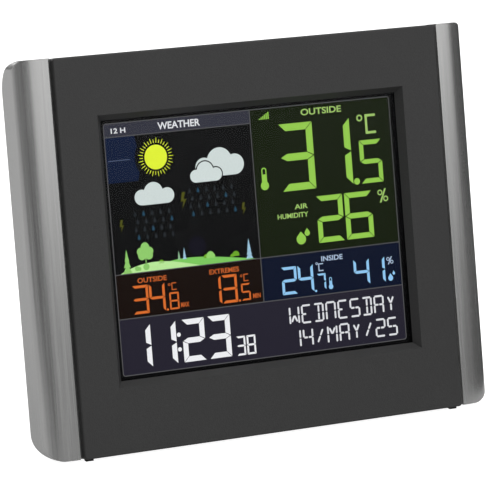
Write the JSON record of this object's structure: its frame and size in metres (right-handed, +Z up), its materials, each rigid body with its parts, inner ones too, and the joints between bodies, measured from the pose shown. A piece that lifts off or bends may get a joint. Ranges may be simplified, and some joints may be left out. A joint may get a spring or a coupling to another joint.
{
  "type": "home weather station",
  "caption": "Table-top weather station: leaning dark case with a colour display window, silver side rails, folding rear stand, battery compartment and rear push buttons.",
  "frame": {"origin": "on the table under the middle of the object's box, at the soles of its feet", "axes": "+X to the right as seen from the front, +Y towards the back, +Z up; the case leans back 10 degrees"},
  "size_m": [0.1876, 0.0478, 0.1469],
  "materials": {
    "case_plastic": "finely textured dark grey plastic",
    "cover_plastic": "textured dark grey plastic",
    "rail_silver": "satin silver",
    "clear_window": "clear polished",
    "display": "dark display glass with coloured segments",
    "film": "coloured film",
    "light_guide": "clear plastic",
    "white_plastic": "white",
    "board_green": "solder mask",
    "component_black": "moulded black",
    "spring_steel": "nickel plated",
    "screw_steel": "zinc plated",
    "copper_wire": "enamelled copper",
    "battery_label": "printed sleeve",
    "foot_rubber": "matt rubber",
    "button_plastic": "satin dark plastic",
    "gasket_foam": "black foam tape"
  },
  "bodies": {
    "case": {"front_housing": "case_plastic", "rear_cover": "cover_plastic", "right_side_rail": "rail_silver", "left_side_rail": "rail_silver", "lens_gasket": "gasket_foam", "display_lens": "clear_window", "lcd_glass": "display", "color_film": "film", "light_guide": "light_guide", "reflector_sheet": "white_plastic", "backlight_led_strip": "white_plastic", "lcd_holder": "white_plastic", "lcd_contact_strips": "gasket_foam", "main_circuit_board": "board_green", "circuit_components": "component_black", "button_switches": "component_black", "radio_module": "board_green", "radio_aerial": "copper_wire", "sensor_board": "board_green", "buzzer": "component_black", "power_socket": "component_black", "battery_low": "battery_label", "battery_middle": "battery_label", "battery_high": "battery_label", "battery_springs": "spring_steel", "battery_plates": "spring_steel", "stand_hinge_rod": "screw_steel", "right_front_foot": "foot_rubber", "left_front_foot": "foot_rubber", "rear_screws": "screw_steel", "board_screws": "screw_steel"},
    "stand": {"folding_stand": "cover_plastic", "stand_foot_strip": "foot_rubber"},
    "battery_cover": {"battery_door": "cover_plastic"},
    "minus_button": {"minus_button": "button_plastic"},
    "plus_button": {"plus_button": "button_plastic"},
    "history_button": {"history_button": "button_plastic"},
    "channel_button": {"channel_button": "button_plastic"},
    "light_button": {"light_button": "button_plastic"},
    "alarm_button": {"alarm_button": "button_plastic"},
    "clock_button": {"clock_button": "button_plastic"},
    "alert_button": {"alert_button": "button_plastic"}
  },
  "joints": [
    {"name": "stand_fold", "type": "hinge", "parent": "case", "child": "stand", "pos_m": [0, 0.01082, 0.07025], "axis": [1, 0, 0], "range_deg": [-17.6, 0]},
    {"name": "battery_cover_swing", "type": "hinge", "parent": "case", "child": "battery_cover", "pos_m": [0, 0.01457, 0.07771], "axis": [-1, 0, 0], "range_deg": [0, 75]},
    {"name": "minus_button_press", "type": "slide", "parent": "case", "child": "minus_button", "axis": [0, -0.9848, 0.1736], "range_m": [0, 0.0007], "stiffness_N_per_m": 600},
    {"name": "plus_button_press", "type": "slide", "parent": "case", "child": "plus_button", "axis": [0, -0.9848, 0.1736], "range_m": [0, 0.0007], "stiffness_N_per_m": 600},
    {"name": "history_button_press", "type": "slide", "parent": "case", "child": "history_button", "axis": [0, -0.9848, 0.1736], "range_m": [0, 0.0007], "stiffness_N_per_m": 600},
    {"name": "channel_button_press", "type": "slide", "parent": "case", "child": "channel_button", "axis": [0, -0.9848, 0.1736], "range_m": [0, 0.0007], "stiffness_N_per_m": 600},
    {"name": "light_button_press", "type": "slide", "parent": "case", "child": "light_button", "axis": [0, -0.9848, 0.1736], "range_m": [0, 0.0007], "stiffness_N_per_m": 600},
    {"name": "alarm_button_press", "type": "slide", "parent": "case", "child": "alarm_button", "axis": [0, -0.9848, 0.1736], "range_m": [0, 0.0007], "stiffness_N_per_m": 600},
    {"name": "clock_button_press", "type": "slide", "parent": "case", "child": "clock_button", "axis": [0, -0.9848, 0.1736], "range_m": [0, 0.0007], "stiffness_N_per_m": 600},
    {"name": "alert_button_press", "type": "slide", "parent": "case", "child": "alert_button", "axis": [0, -0.9848, 0.1736], "range_m": [0, 0.0007], "stiffness_N_per_m": 600}
  ]
}
